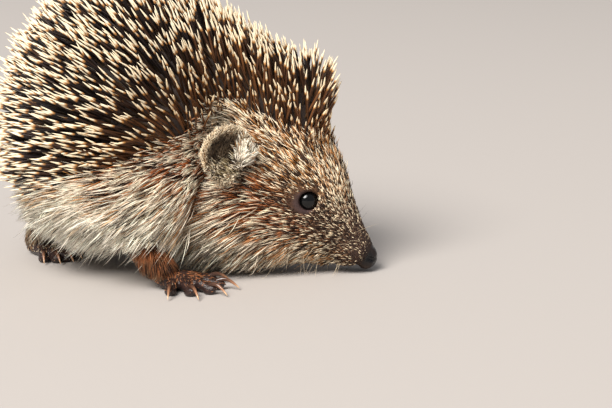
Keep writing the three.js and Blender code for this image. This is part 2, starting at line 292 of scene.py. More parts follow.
def rod(start, end, start_radius, end_radius):
    """A round rod that tapers between two points, with round ends."""
    axis = np.subtract(end, start)

    def shape(p):
        s = sum((p[i] - start[i]) * axis[i] for i in range(3)) / float(axis @ axis)
        s = np.clip(s, 0, 1)
        away = np.sqrt(sum((p[i] - start[i] - axis[i] * s) ** 2 for i in range(3)))
        return away - (start_radius + (end_radius - start_radius) * s)
    return shape


class Clay:
    """A distance field on a grid in the model's frame.

    A shape is a function of coordinates. It is joined to the field or cut out of it in a
    box, softly by its blend, and to_local gives its coordinates from model-frame points.
    """

    def __init__(self, low, high, voxel):
        self.low, self.voxel = np.array(low, float), voxel
        counts = np.ceil((np.array(high) - low) / voxel).astype(int)
        self.axes = [self.low[i] + voxel * np.arange(counts[i]) for i in range(3)]
        self.field = np.full(counts, 9.0, np.float32)

    def part(self, box):
        """The slices that cover a box, and their points."""
        spans = []
        for axis, low, high in zip(self.axes, *box):
            first = np.searchsorted(axis, low)
            spans.append(slice(first, max(np.searchsorted(axis, high), first + 1)))
        grids = np.meshgrid(*(a[s] for a, s in zip(self.axes, spans)), indexing="ij")
        return tuple(spans), np.stack(grids, axis=-1)

    def join(self, shape, box, blend, to_local=folded):
        spans, points = self.part(box)
        self.field[spans] = soft_min(self.field[spans], shape(to_local(points)), blend)

    def cut(self, shape, box, blend, to_local=folded):
        spans, points = self.part(box)
        self.field[spans] = -soft_min(-self.field[spans], shape(to_local(points)), blend)

    def surface(self, adaptivity):
        grid = openvdb.FloatGrid(background=3.0)
        grid.copyFromArray(np.clip(self.field, -3, 3))
        grid.transform = openvdb.createLinearTransform(voxelSize=self.voxel)
        points, triangles, quads = grid.convertToPolygons(isovalue=0.0, adaptivity=adaptivity)
        split = np.concatenate([quads[:, (0, 1, 2)], quads[:, (0, 2, 3)]])
        return points + self.low, np.concatenate([triangles, split]).astype(np.int64)


def trunk_shape(p):
    x, y, z = p
    line = np.linspace(WIDEST, BROW, 500)
    sizes = between(TRUNK, line)
    at = np.clip(x, WIDEST, BROW)
    top, half, belt, bottom = (np.interp(at, line, sizes[:, i]) for i in range(1, 5))
    up = z - belt
    high = np.where(up > 0, top - belt, belt - bottom)
    power = np.where(up > 0, ROUND, BELLY_ROUND)
    section = ((y / half) ** power + (np.abs(up) / high) ** power) ** (1 / power)
    back = np.maximum(WIDEST - x, 0) / (WIDEST - RUMP_TIP)
    ahead = np.maximum(x - BROW, 0) / (CROWN_TIP - BROW)
    level = (section**ROUND + back**ROUND + ahead**ROUND) ** (1 / ROUND)
    away = np.sqrt(y**2 + up**2 + (x - at) ** 2)
    return away * (1 - 1 / np.maximum(level, 1e-3))


def head_shape(p):
    x, y, z = p
    c, s = math.cos(HEAD_PITCH), math.sin(HEAD_PITCH)
    along = (MUZZLE_END[0] - x) * c + (z - MUZZLE_END[1]) * s
    up = (z - MUZZLE_END[1]) * c - (MUZZLE_END[0] - x) * s
    line = np.linspace(HEAD[0][0], HEAD[-1][0], 600)
    sizes = between(HEAD, line)
    above, below, half = (np.interp(along, line, sizes[:, i]) for i in range(1, 4))
    high = np.where(up > 0, above, below)
    section = ((y / half) ** ROUND + (np.abs(up) / high) ** ROUND) ** (1 / ROUND)
    ahead = np.maximum(HEAD_FRONT - along, 0) / HEAD_FRONT_CAP
    back = np.maximum(along - HEAD_BACK, 0) / HEAD_BACK_CAP
    level = np.sqrt(section**2 + ahead**2 + back**2)
    away = np.sqrt(y**2 + up**2 + (along - np.clip(along, HEAD_FRONT, HEAD_BACK)) ** 2)
    return away * (1 - 1 / np.maximum(level, 1e-3)) * 0.95


def toe_line(paw, i):
    """The direction and both ends of a toe in the paw's frame."""
    x, y, angle, length = paw["toes"][i]
    way = np.array([math.cos(math.radians(angle)), math.sin(math.radians(angle)), 0])
    root = np.array([x, y, paw["toe_radius"] + 0.9])
    tip = root + way * length
    tip[2] = paw["toe_radius"] - 0.12
    return way, root, tip


def paw_frame(paw, side):
    return rigid(paw["x"], paw["y"], 0, paw["yaw"], side)


def in_paw(points, paw, side):
    """x, y and z of model-frame points in a paw's frame."""
    return paw_frame(paw, side)[0](points)


def add_paw(clay, paw, side):
    """A leg, its palm or sole, and toes with their knuckles, pads and claw beds."""
    to_local, to_frame = paw_frame(paw, side)

    def put(shape, points, margin, blend):
        clay.join(shape, around(to_frame(points), margin), blend, to_local)

    top = (paw["leg_lean"], 0, paw["leg_top"])
    wrist = (paw["wrist"], 0, WRIST_HEIGHT)
    put(rod(top, wrist, paw["leg_radius"], paw["wrist_radius"]), (top, wrist), 10, 3.0)
    long, wide, high = paw["palm"]
    middle = (0, 0, high / 2 - 0.3)
    put(ellipsoid(middle, (long / 2, wide / 2, high / 2)), middle, 12, 2.0)
    for i in range(len(paw["toes"])):
        way, root, tip = toe_line(paw, i)
        knuckle = root + (tip - root) * KNUCKLE_SHARE + (0, 0, KNUCKLE_RISE)
        put(rod(root, knuckle, 1.9, 1.95), (root, knuckle), 5, 1.2)
        put(rod(knuckle, tip, 1.75, 1.85), (knuckle, tip), 5, 0.7)
        pad = tip - way * 0.3 - (0, 0, 0.5)
        put(ellipsoid(pad, TOE_PAD), pad, 4, 0.5)
        bed = tip + way * 1.4 + (0, 0, 0.5)
        put(ellipsoid(bed, CLAW_BED), bed, 3, 0.6)


def ear_frame(side):
    """To the ear's own frame, with x the way it faces, y outward and z up its height.

    The second function comes back from the same frame before its tilt.
    """
    to_local, to_frame = rigid(EAR["x"], EAR["y"], EAR["z"], EAR["face"], side)
    tilt = math.radians(EAR["tilt"])

    def tilted(points):
        x, y, z = to_local(points)
        return x * math.cos(tilt) - z * math.sin(tilt), y, x * math.sin(tilt) + z * math.cos(tilt)

    return tilted, to_frame


def in_ear(points, side):
    """x, y and z of model-frame points in an ear's frame."""
    return ear_frame(side)[0](points)


def ear_sheet(x, out):
    """How far a point is in front of the ear's dished sheet. out is 0 mid-ear and 1 at its rim."""
    return x + EAR["dish"] * (1 - np.minimum(out, 1.3) ** 2)


def ear_shape(p):
    """The dished flap, narrower at its foot, with a fold inside and a thicker rim."""
    x, y, z = p
    lobe = np.where(z > 0, 1.0, 1.0 + 0.04 * z)
    out = np.sqrt((y / (EAR["wide"] / 2 * lobe)) ** 2 + (z / (EAR["tall"] / 2)) ** 2)
    fold = 0.5 * np.exp(-(((out - 0.55) / 0.12) ** 2)) * (z < 4)
    half = EAR["thick"] / 2 * (1 + 0.25 * np.exp(-(((out - 0.95) / 0.1) ** 2)))
    edge = (out - 1) * EAR["wide"] / 2
    across = np.abs(ear_sheet(x, out) - fold) * 0.85
    return np.sqrt(across**2 + np.maximum(edge, 0) ** 2) - half


def make_skin_surface():
    low, high = (np.array(v) / MM for v in cad_box)
    everywhere = (low - 2, high + 2)
    clay = Clay(*everywhere, VOXEL)
    clay.join(trunk_shape, everywhere, 0.1)
    clay.join(head_shape, around(to_model(HEAD_ZONE), 0), HEAD_BLEND)
    tail_zone = around(to_model([TAIL_ROOT, TAIL_TIP]), 6)
    clay.join(rod(TAIL_ROOT, TAIL_TIP, *TAIL_RADII), tail_zone, 2.0)
    for paw, side in PAWS:
        add_paw(clay, paw, side)
    for side in (1, -1):
        to_local, to_frame = ear_frame(side)
        clay.join(ear_shape, around(to_frame((0, 0, 0)), 16), 1.6, to_local)
    for side in (1, -1):
        add_face(clay, side)
    add_nose(clay)
    under_feet = (everywhere[0], (*everywhere[1][:2], 6))
    clay.cut(lambda p: p[2], under_feet, 0.3, columns)
    return clay.surface(SIMPLIFY)


def face_zone(side, place, margin):
    x, y, z = place
    return around(to_model([(x, side * y, z)]), margin)


def add_eye_rim(clay, side):
    """The eye's surround, its lids with their fold and crease, and its socket."""
    look = unit(np.array(EYE_LOOK))
    zone = face_zone(side, EYE, 11)

    def seen_ahead(p):
        """How far out along the look, and how far from its line."""
        q = [p[i] - EYE[i] for i in range(3)]
        out = sum(q[i] * look[i] for i in range(3))
        across = [q[i] - out * look[i] for i in range(3)]
        return out, np.sqrt((across[0] / 1.07) ** 2 + across[1] ** 2 + (across[2] / 0.95) ** 2)

    def ring(wide, high, thick):
        def shape(p):
            out, away = seen_ahead(p)
            return np.sqrt((away - wide) ** 2 + (out - high) ** 2) - thick
        return shape

    def opening(p):
        out, away = seen_ahead(p)
        return np.maximum(away - LID_GAP - LID_SLOPE * (out - 2.6), 1.2 - out)

    clay.join(ellipsoid(np.array(EYE) + look * 0.4, EYE_SURROUND), zone, 2.5)
    clay.join(ring(*OUTER_FOLD), zone, 1.0)
    clay.join(ring(*EYELID), zone, 0.8)
    clay.cut(ring(*CREASE), zone, 0.7)
    clay.cut(ellipsoid(EYE, (EYE_RADIUS + 0.05,) * 3), zone, 0.1)
    clay.cut(opening, zone, 0.3)


def mouth_line(p):
    """The slit of the mouth, from its corner to below the nose."""
    height = np.interp(p[0], (64, 78), (5.2, 2.2))
    return np.sqrt((p[2] - height) ** 2 + np.maximum(MOUTH_CORNER - p[0], 0) ** 2) - 0.3


def add_face(clay, side):
    """The rim of the eye, the whisker pad, the ear's canal and the mouth."""
    add_eye_rim(clay, side)
    clay.join(ellipsoid(WHISKER_PAD, (5.5, 3.2, 4.0)), face_zone(side, WHISKER_PAD, 10), 2.5)
    clay.cut(ellipsoid(CANAL, (2.6, 4.0, 3.4)), face_zone(side, CANAL, 9), 2.0)

    spans, points = clay.part(face_zone(side, (72, 4, 5), 13))
    near = clay.field[spans]
    slit = np.maximum(mouth_line(folded(points)), -(near + 0.9))
    clay.field[spans] = -soft_min(-near, slit, 0.5)


def add_nose(clay):
    """The wet pad, the wings round the nostrils, the parting line and the nostrils."""
    zone = around(to_model([NOSE]), 9)
    for middle, radii, blend in NOSE_LUMPS:
        clay.join(ellipsoid(middle, radii), zone, blend)
    clay.cut(rod((84.8, 0, 6.6), (81.0, 0, 0.6), 0.28, 0.28), zone, 0.6)
    clay.cut(rod((82.9, 3.0, 4.9), (80.0, 4.2, 6.3), 0.8, 0.45), zone, 0.4)


# ---- meshes


def add_object(name, data):
    thing = bpy.data.objects.new(name, data)
    bpy.context.scene.collection.objects.link(thing)
    return thing


def make_mesh(name, points, faces, smooth=True):
    """A mesh object from points in millimetres and a list of face arrays, each of one size."""
    mesh = bpy.data.meshes.new(name)
    sizes = np.concatenate([np.full(len(f), f.shape[1]) for f in faces])
    corners = np.concatenate([f.ravel() for f in faces]).astype(np.int32)
    starts = np.concatenate([[0], np.cumsum(sizes)[:-1]]).astype(np.int32)
    mesh.vertices.add(len(points))
    mesh.vertices.foreach_set("co", (np.asarray(points) * MM).astype(np.float32).ravel())
    mesh.loops.add(len(corners))
    mesh.loops.foreach_set("vertex_index", corners)
    mesh.polygons.add(len(sizes))
    mesh.polygons.foreach_set("loop_start", starts)
    mesh.polygons.foreach_set("use_smooth", np.full(len(sizes), smooth))
    mesh.update(calc_edges=True)
    mesh.validate()
    return add_object(name, mesh)


def tube_quads(rings, sides):
    """The faces between the rings of a tube whose vertices are counted ring by ring."""
    k = np.arange(sides)
    after = (k + 1) % sides
    level = np.arange(rings - 1)[:, None] * sides
    quads = np.stack([level + k, level + after, level + sides + after, level + sides + k], axis=-1)
    return quads.reshape(-1, 4)


def add_attribute(piece, name, kind, values):
    layer = piece.data.attributes.new(name, kind, "POINT")
    values = np.asarray(values, np.float32)
    if kind == "FLOAT_COLOR":
        values = np.concatenate([values, np.ones((len(values), 1), np.float32)], axis=1)
        layer.data.foreach_set("color", values.ravel())
    else:
        layer.data.foreach_set("value", values.ravel())


def add_uv(piece, coordinates):
    """The bake's UV map, from one coordinate a vertex."""
    layer = piece.data.uv_layers.new(name="OFBake")
    corners = np.empty(len(piece.data.loops), np.int32)
    piece.data.loops.foreach_get("vertex_index", corners)
    layer.data.foreach_set("uv", coordinates[corners].astype(np.float32).ravel())


# ---- colours


def linear(red, green, blue):
    """A display colour of 0 to 255 as linear light."""
    c = np.array([red, green, blue]) / 255
    return np.where(c <= 0.04045, c / 12.92, ((c + 0.055) / 1.055) ** 2.4)


def mixed(colour, other, share):
    """A colour moved towards another by each point's share."""
    return colour + (other - colour) * share[:, None]


CREAM = linear(248, 222, 182)
WHITE = linear(253, 246, 232)
TAN = linear(206, 150, 92)
GOLD = linear(206, 138, 66)
ORANGE = linear(190, 104, 48)
BROWN = linear(120, 78, 52)
DARK = linear(56, 38, 30)
BLACK = linear(30, 22, 20)
LID = linear(66, 47, 44)
NOSE_BLACK = linear(17, 15, 16)

# Skin colours. The spiny skin is dark, partly its own tone and partly painted shade between the spines.
SPINY_SKIN = linear(48, 36, 30)
LIMB_SKIN = linear(66, 44, 36)
TOE_SKIN = linear(36, 28, 28)
EAR_GREY = linear(134, 116, 94)
EAR_HAIR = linear(206, 180, 146)
# The hollow's hair colour is dark, partly its own tone and partly painted shade.
EAR_HOLLOW_HAIR = linear(104, 82, 60)
EAR_OLIVE_HAIR = linear(150, 130, 92)
FRONT_LEG_HAIR = linear(168, 102, 60)
HIND_LEG_HAIR = linear(176, 134, 98)
DARK_WHISKER = linear(70, 52, 40)
PALE_WHISKER = linear(220, 200, 168)

# A spine's colours, and those of the golden spines near the face and the spines' edge.
SPINE_ROOT = linear(120, 96, 70)
SHAFT, GOLDEN_SHAFT = linear(31, 24, 23), linear(106, 67, 37)
AMBER, GOLDEN_AMBER = linear(176, 124, 70), linear(196, 138, 72)
SPINE_TIP, GOLDEN_TIP = linear(250, 234, 202), linear(236, 190, 122)

# The fur by place on the body: x, z, lie in degrees (0 forward, 90 up, 180 back), lean off
# the skin's normal, length, share of pale hairs, share of dark hairs, colour of the others.
FUR = (
    (81, 8, 145, 78, 1.2, 0.04, 0.76, DARK),
    (78, 16, 128, 77, 2.0, 0.08, 0.68, BROWN),
    (76, 24, 120, 75, 3.0, 0.16, 0.58, BROWN),
    (72, 34, 116, 72, 5.5, 0.26, 0.50, TAN),
    (69, 44, 110, 66, 8.5, 0.22, 0.52, GOLD),
    (74, 9, 160, 76, 2.0, 0.09, 0.70, BROWN),
    (68, 14, 160, 76, 2.8, 0.10, 0.66, BROWN),
    (66, 22, 145, 76, 3.2, 0.18, 0.58, BROWN),
    (65, 32, 130, 75, 4.6, 0.26, 0.52, TAN),
    (60, 37, 134, 74, 4.8, 0.20, 0.54, GOLD),
    (60, 46, 124, 68, 8.5, 0.22, 0.52, GOLD),
    (58, 22, 150, 77, 2.8, 0.07, 0.68, BROWN),
    (52, 29, 150, 77, 3.0, 0.07, 0.66, BROWN),
    (62, 29, 140, 77, 2.4, 0.10, 0.66, BROWN),
    (51, 40, 138, 70, 7.0, 0.24, 0.48, GOLD),
    (52, 19, 162, 73, 5.2, 0.20, 0.42, ORANGE),
    (44, 24, 165, 70, 7.5, 0.25, 0.40, ORANGE),
    (42, 36, 150, 68, 8.0, 0.24, 0.40, ORANGE),
    (46, 48, 128, 62, 9.0, 0.34, 0.42, GOLD),
    (36, 30, 182, 56, 15.0, 0.34, 0.34, ORANGE),
    (34, 42, 160, 64, 8.0, 0.66, 0.16, CREAM),
    (60, 8, 200, 66, 4.8, 0.42, 0.26, GOLD),
    (66, 4, 222, 58, 4.2, 0.34, 0.38, TAN),
    (50, 10, 222, 56, 8.0, 0.52, 0.24, TAN),
    (40, 10, 232, 50, 11.0, 0.62, 0.18, TAN),
    (36, 18, 204, 57, 14.5, 0.60, 0.20, TAN),
    (26, 38, 176, 62, 13.0, 0.44, 0.26, ORANGE),
    (24, 26, 188, 60, 16.0, 0.52, 0.20, GOLD),
    (26, 14, 226, 52, 14.0, 0.72, 0.12, CREAM),
    (12, 44, 172, 62, 15.0, 0.42, 0.26, ORANGE),
    (12, 34, 184, 58, 18.0, 0.66, 0.14, GOLD),
    (12, 22, 216, 52, 17.0, 0.86, 0.06, CREAM),
    (-6, 38, 178, 60, 17.0, 0.60, 0.14, GOLD),
    (-6, 29, 196, 56, 18.0, 0.84, 0.06, CREAM),
    (-6, 20, 230, 48, 15.0, 0.92, 0.03, WHITE),
    (-28, 34, 186, 58, 14.0, 0.76, 0.08, CREAM),
    (-28, 25, 216, 50, 13.0, 0.90, 0.03, WHITE),
    (-45, 32, 196, 56, 10.0, 0.80, 0.06, CREAM),
    (-44, 23, 214, 52, 8.0, 0.80, 0.06, CREAM),
    (-53, 15, 196, 66, 3.5, 0.70, 0.10, CREAM),
    (10, 12, 190, 66, 10.0, 0.60, 0.20, TAN),
    (-20, 14, 190, 68, 8.0, 0.55, 0.25, TAN),
)

# The spines by place on the body: x, z, lie, lean, length.
SPINES = (
    (70, 52, 92, 62, 14.0),
    (69, 66, 84, 54, 16.0),
    (64, 78, 84, 44, 17.0),
    (56, 54, 98, 62, 14.0),
    (54, 68, 94, 52, 17.0),
    (44, 80, 96, 46, 18.0),
    (44, 62, 100, 58, 16.0),
    (33, 90, 104, 46, 19.0),
    (33, 68, 108, 56, 18.0),
    (20, 96, 116, 48, 20.0),
    (20, 66, 124, 56, 19.0),
    (6, 104, 124, 50, 20.0),
    (6, 72, 138, 54, 20.0),
    (6, 50, 160, 58, 19.0),
    (-8, 108, 130, 50, 20.0),
    (-8, 78, 150, 54, 20.0),
    (-8, 50, 174, 58, 19.0),
    (-28, 98, 142, 52, 20.0),
    (-28, 66, 162, 54, 20.0),
    (-28, 42, 184, 58, 19.0),
    (-48, 70, 184, 54, 19.0),
    (-48, 44, 204, 56, 18.0),
)

# The lower edge of the spines: x, z.
SPINE_EDGE = (
    (-60, 28), (-45, 29), (-25, 31), (-5, 36), (8, 42), (16, 49), (22, 56), (29, 62), (38, 59),
    (48, 52), (58, 47.5), (72, 45),
)


def blended(keys, place, spread):
    """The keys' values at places, weighted by nearness. The lie is averaged as a direction."""
    rows = [(*key[:-1], *key[-1]) if np.ndim(key[-1]) else key for key in keys]
    table = np.array(rows, float)
    away = (place[:, None, 0] - table[:, 0]) ** 2 + (place[:, None, 2] - table[:, 1]) ** 2
    weight = np.exp(-away / (2 * spread**2)) + 1e-4 / (away + 1)
    weight /= weight.sum(1, keepdims=True)
    lie = np.radians(table[:, 2])
    values = weight @ table[:, 3:]
    return np.arctan2(weight @ np.sin(lie), weight @ np.cos(lie)), values


def over_spine_edge(place):
    """Height above the lower edge of the spines."""
    edge = np.array(SPINE_EDGE, float)
    return place[:, 2] - np.interp(place[:, 0], edge[:, 0], edge[:, 1])


def beside_eye(place):
    """Distance from the eye's middle, seen from the side."""
    return np.hypot(place[:, 0] - EYE[0], place[:, 2] - EYE[2])


def bare_zones(place):
    """How far a place is on the wet nose, and on the bare rim of the eye: 0 to 1."""
    x, y, z = place[:, 0], np.abs(place[:, 1]), place[:, 2]
    nose = ramp(ellipsoid(NOSE, WET_NOSE)((x, y, z)), 0.4, -0.4)
    from_rim = np.sqrt((x - EYE[0] + 0.9) ** 2 + (z - EYE[2]) ** 2 + (0.4 * (y - EYE[1] - 3)) ** 2)
    return nose, ramp(from_rim, 5.2, 3.6)


def limb_share(points):
    """How far a point belongs to a leg or paw, 0 to 1, and which one."""
    best = np.zeros(len(points))
    which = np.full(len(points), -1)
    for i, (paw, side) in enumerate(PAWS):
        x, y, z = in_paw(points, paw, side)
        leg = z > PALM_TOP
        lean = paw["leg_lean"] * np.clip(z, 0, 30) / paw["leg_top"]
        away = np.hypot(x - np.where(leg, lean, np.clip(x, -10, 16)), y * np.where(leg, 1, 0.62))
        share = ramp(away, paw["reach"], paw["reach"] - 1.5) * ramp(z, LIMB_TOP, LIMB_TOP - 3)
        which = np.where(share > best, i, which)
        best = np.maximum(best, share)
    return best, which


def ear_share(points):
    """How far a point is on an ear's flap, how far out towards its rim, and on its face."""
    best, rim, face = np.zeros(len(points)), np.zeros(len(points)), np.zeros(len(points))
    for side in (1, -1):
        x, y, z = in_ear(points, side)
        out = np.sqrt((y / (EAR["wide"] / 2)) ** 2 + (z / (EAR["tall"] / 2)) ** 2)
        sheet = ear_sheet(x, out)
        share = ramp(np.abs(sheet), 1.6, 1.0) * ramp(out, 1.16, 1.10)
        rim = np.where(share > best, out, rim)
        face = np.where(share > best, ramp(sheet, -0.2, 0.2), face)
        best = np.maximum(best, share)
    return best, rim, face


# ---- the skin


def surface_data(points, faces):
    """Each triangle's middle, normal and area."""
    a, b, c = (points[faces[:, i]] for i in range(3))
    normal = np.cross(b - a, c - a)
    size = np.linalg.norm(normal, axis=1)
    return (a + b + c) / 3, normal / np.maximum(size, 1e-9)[:, None], size / 2


def under_coat_colour_and_shade(place):
    """The skin under the coat: the fur's colours, darker, partly the skin's own dark tone and partly
    painted shade under the coat; painted shade in the ear's canal; and the bare parts.
    """
    x, y, z = columns(place)
    _, values = blended(FUR, place, 6.0)
    # Partly the skin's own dark tone, partly painted shade under the fur and the spines.
    colour = values[:, 4:7] * 0.18 + BLACK * 0.5
    colour = mixed(colour, SPINY_SKIN, ramp(over_spine_edge(place), -2, 2))
    # Painted shade: the ear's canal is painted near black.
    from_canal = np.sqrt((x - CANAL[0]) ** 2 + (np.abs(y) - CANAL[1]) ** 2 + (z - CANAL[2]) ** 2)
    colour = mixed(colour, BLACK * 0.6, ramp(from_canal, 4.5, 3.5))
    nose, lid = bare_zones(place)
    return mixed(mixed(colour, LID, lid), NOSE_BLACK, nose)


def paint_skin(piece, points):
    """Colours and wetness at the skin's vertices."""
    place, _ = to_body(points)
    limbs, _ = limb_share(points)
    toes = limbs * ramp(points[:, 2], 7, 5)
    colour = mixed(under_coat_colour_and_shade(place), LIMB_SKIN, limbs)
    colour = mixed(colour, TOE_SKIN, 0.7 * toes)
    ears, rim, face = ear_share(points)
    # Painted shade: the ear's skin is darkened along the fold in its hollow.
    fold = np.exp(-(((rim - 0.42) / 0.22) ** 2)) * face
    edge = 0.5 * ramp(rim, 0.8, 1.0)
    ear_colour = EAR_GREY * (1 - 0.72 * fold[:, None]) + (TAN - EAR_GREY) * edge[:, None]
    add_attribute(piece, "colour_and_shade", "FLOAT_COLOR", mixed(colour, ear_colour, ears))
    nose, lid = bare_zones(place)
    add_attribute(piece, "wet", "FLOAT", np.maximum(np.maximum(nose, 0.35 * lid), 0.95 * toes))


skin_points, skin_faces = make_skin_surface()
middles, normals, areas = surface_data(skin_points, skin_faces)
if (middles * normals * areas[:, None]).sum() < 0:
    skin_faces = skin_faces[:, ::-1]
    normals = -normals
vertex_normals = np.zeros_like(skin_points)
for corner in range(3):
    np.add.at(vertex_normals, skin_faces[:, corner], normals * areas[:, None])
vertex_normals = unit(vertex_normals)
middle_place, _ = to_body(middles)

skin = make_mesh("skin", skin_points, [skin_faces])
paint_skin(skin, skin_points)
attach(skin, "root")


# ---- roots of the coat


def drafted(count):
    """The count of strands, unchanged."""
    return count


def scatter(weights, count):
    """Random places on the skin, as many on each triangle as its area and weight ask."""
    chance = areas * weights
    picked = rng.choice(len(areas), size=count, p=chance / chance.sum())
    r1, r2 = np.sqrt(rng.random(count)), rng.random(count)
    shares = np.stack([1 - r1, r1 * (1 - r2), r1 * r2], axis=1)
    corners = skin_faces[picked]
    points = np.einsum("nk,nki->ni", shares, skin_points[corners])
    normal = unit(np.einsum("nk,nki->ni", shares, vertex_normals[corners]))
    return points, normal


def spaced(points, distance):
    """Which of the points to keep so that none is nearer to another than its distance."""
    cell = distance.max()
    grid = {}
    keep = []
    for i, (p, d) in enumerate(zip(points, distance)):
        key = tuple((p // cell).astype(int))
        near = (j for dx in (-1, 0, 1) for dy in (-1, 0, 1) for dz in (-1, 0, 1)
                for j in grid.get((key[0] + dx, key[1] + dy, key[2] + dz), ()))
        if all(((points[j] - p) ** 2).sum() > d * d for j in near):
            grid.setdefault(key, []).append(i)
            keep.append(i)
    return np.array(keep, int)


def on_skin(flow, normal):
    """The way along the skin that is nearest to a flow."""
    return unit(flow - normal * (flow * normal).sum(1, keepdims=True))


def leaning(normal, along, lean):
    """Directions off the skin that lean along it by an angle from the normal."""
    return unit(normal * np.cos(lean)[:, None] + along * np.sin(lean)[:, None])


def lie_directions(points, normal, lie, lean, outward, parting=0.0):
    """First directions of strands, and the way along the skin that they lie.

    outward turns them away from the body's middle, and parting does so where the skin faces
    ahead, so that they pass round the shoulder.
    """
    place, heading = to_body(points)
    side = np.tanh(place[:, 1] / 5)
    facing_ahead = np.clip(turned(normal, -heading)[:, 0], 0, 1) * ramp(place[:, 0], 40, 32)
    level = np.stack([np.cos(lie), side * (outward + parting * facing_ahead), np.sin(lie)], axis=1)
    along = on_skin(turned(level, heading), normal)
    return leaning(normal, along, lean), along


def jitter(directions, amount):
    return unit(directions + rng.normal(0, 1, directions.shape) * amount)


# ---- strands

# Places of a strand's rings from root to tip, and the share of its thickness there.
LONG_HAIR = ((0.0, 0.75), (0.35, 1.0), (0.72, 0.78))
SHORT_HAIR = ((0.0, 0.8), (0.55, 1.0))
WHISKER = ((0.0, 1.0), (0.25, 0.95), (0.5, 0.8), (0.75, 0.55))
SPINE = ((0.0, 0.5), (0.05, 0.8), (0.3, 1.0), (0.74, 1.0), (0.78, 0.98), (0.83, 0.92), (0.93, 0.5))
HAIR_SIDES, WHISKER_SIDES, SPINE_SIDES = 3, 4, 5
DOWN = np.array([0, 0, -1.0])
# The side of a strand's own patch on the bake's map, and the map's free edge.
PATCH, MAP_EDGE = 0.003, 0.004


def steps(shape):
    """How far along a strand its rings and its tip are."""
    return np.array([s for s, _ in shape] + [1.0])


def strand_paths(roots, first, bow, length, shape):
    """Points along each strand, from its root to its tip."""
    s = steps(shape)[None, :, None]
    return roots[:, None] + length[:, None, None] * (first[:, None] * s + bow[:, None] * s**2)


def over_floor(paths, height):
    """Paths that would pass below a height laid on it."""
    return np.concatenate([paths[..., :2], np.maximum(paths[..., 2:], height)], axis=-1)


def locks(roots, spacing):
    """The strand that leads the lock each strand belongs to."""
    leaders = spaced(roots, np.full(len(roots), spacing))
    tree = KDTree(len(leaders))
    for k, i in enumerate(leaders):
        tree.insert(roots[i], k)
    tree.balance()
    return leaders[[tree.find(p)[1] for p in roots]]


def in_locks(roots, paths, shape, spacing, pull, alike):
    """Paths drawn towards their lock's leader, more at their tips, so that the coat parts.

    Each strand also gets a random number, which a share of a lock's strands have alike.
    """
    leader = locks(roots, spacing)
    pull = pull[:, None, None] * steps(shape)[None, :, None] ** 1.4
    draw = rng.random(len(leader))
    draw = np.where(rng.random(len(leader)) < alike, draw[leader], draw)
    return paths + (paths[leader] - paths) * pull, draw


def strand_mesh(name, shape, paths, thickness, sides, colours, tone, patch):
    """Closed tapered strands as one mesh: a capped root, rings and a pointed tip.

    colours gives each ring's and the tip's colour. patch is each root's place on the unwrap.
    """
    count, rings = len(paths), len(shape)
    widths = np.array([w for _, w in shape])
    ahead = np.concatenate([paths[:, 1:] - paths[:, :-1], paths[:, -1:] - paths[:, -2:-1]], axis=1)
    ahead = unit(ahead[:, :rings])
    spin = rng.normal(0, 1, (count, 1, 3))
    across = unit(np.cross(ahead, np.broadcast_to(spin, ahead.shape)))
    other = np.cross(ahead, across)
    angles = np.arange(sides) / sides * 2 * math.pi
    radius = thickness[:, None] * widths[None] / 2
    ring = across[:, :, None] * np.cos(angles)[:, None] + other[:, :, None] * np.sin(angles)[:, None]
    ring = paths[:, :rings, None] + ring * radius[:, :, None, None]
    size = rings * sides + 1
    points = np.concatenate([ring.reshape(count, -1, 3), paths[:, -1:]], axis=1).reshape(-1, 3)

    k = np.arange(sides)
    last = (rings - 1) * sides
    tips = np.stack([last + k, last + (k + 1) % sides, np.full(sides, size - 1)], axis=-1)
    base = (np.arange(count) * size)[:, None, None]
    faces = [(part[None] + base).reshape(-1, part.shape[1])
             for part in (tube_quads(rings, sides), tips, k[::-1][None])]
    piece = make_mesh(name, points, faces)

    along = np.concatenate([np.repeat(steps(shape)[:-1], sides), [1.0]])
    add_attribute(piece, "along", "FLOAT", np.tile(along, count))
    add_attribute(piece, "tone", "FLOAT", np.repeat(tone, size))
    level_of = np.concatenate([np.repeat(np.arange(rings), sides), [rings]])
    add_attribute(piece, "colour_and_shade", "FLOAT_COLOR", colours[:, level_of].reshape(-1, 3))
    turn_share = np.concatenate([np.tile(np.abs(angles / math.pi - 1), rings), [0.5]])
    offset = np.stack([turn_share, along], axis=1) * PATCH
    add_uv(piece, (patch[:, None] + offset[None]).reshape(-1, 2))
    return piece


def hair_mesh(name, shape, paths, width, colours, patch):
    return strand_mesh(name, shape, paths, width, HAIR_SIDES, colours, rng.random(len(paths)), patch)


def unwrapped(points):
    """Places on an unwrap of the skin round the body's own curved axis, filling the map."""
    place, _ = to_body(points)
    middle = np.interp(place[:, 0], (-55, 20, 45, 70, 84), (47, 52, 42, 20, 6))
    turn = np.arctan2(place[:, 1], middle - place[:, 2])
    flat = np.stack([place[:, 0], turn], axis=1)
    low, high = flat.min(0), flat.max(0)
    return MAP_EDGE + (1 - 3 * MAP_EDGE) * (flat - low) / np.maximum(high - low, 1e-6)


# ---- spines

SPINE_GAP = 1.46
SPINE_TRIES = 26000
SPINE_THICKNESS = (0.72, 0.98)
CROWN_START = 26


def spine_colours(place):
    """Colours of each ring and the tip: a dark shaft, an amber band and a pale end."""
    count = len(place)
    golden = np.clip(1.2 - over_spine_edge(place) / 20, 0, 1) * ramp(place[:, 0], -10, 20)
    golden = np.clip(golden + rng.normal(0, 0.12, count), 0, 1)
    root = np.broadcast_to(SPINE_ROOT, (count, 3))
    shaft = mixed(SHAFT, GOLDEN_SHAFT, golden) * rng.uniform(0.6, 1.4, (count, 1))
    amber = mixed(AMBER, GOLDEN_AMBER, golden)
    tip = mixed(SPINE_TIP, GOLDEN_TIP, 0.35 * golden)
    return np.stack([root, root * 0.5, shaft, shaft, amber, tip, tip, tip * 0.9], axis=1)


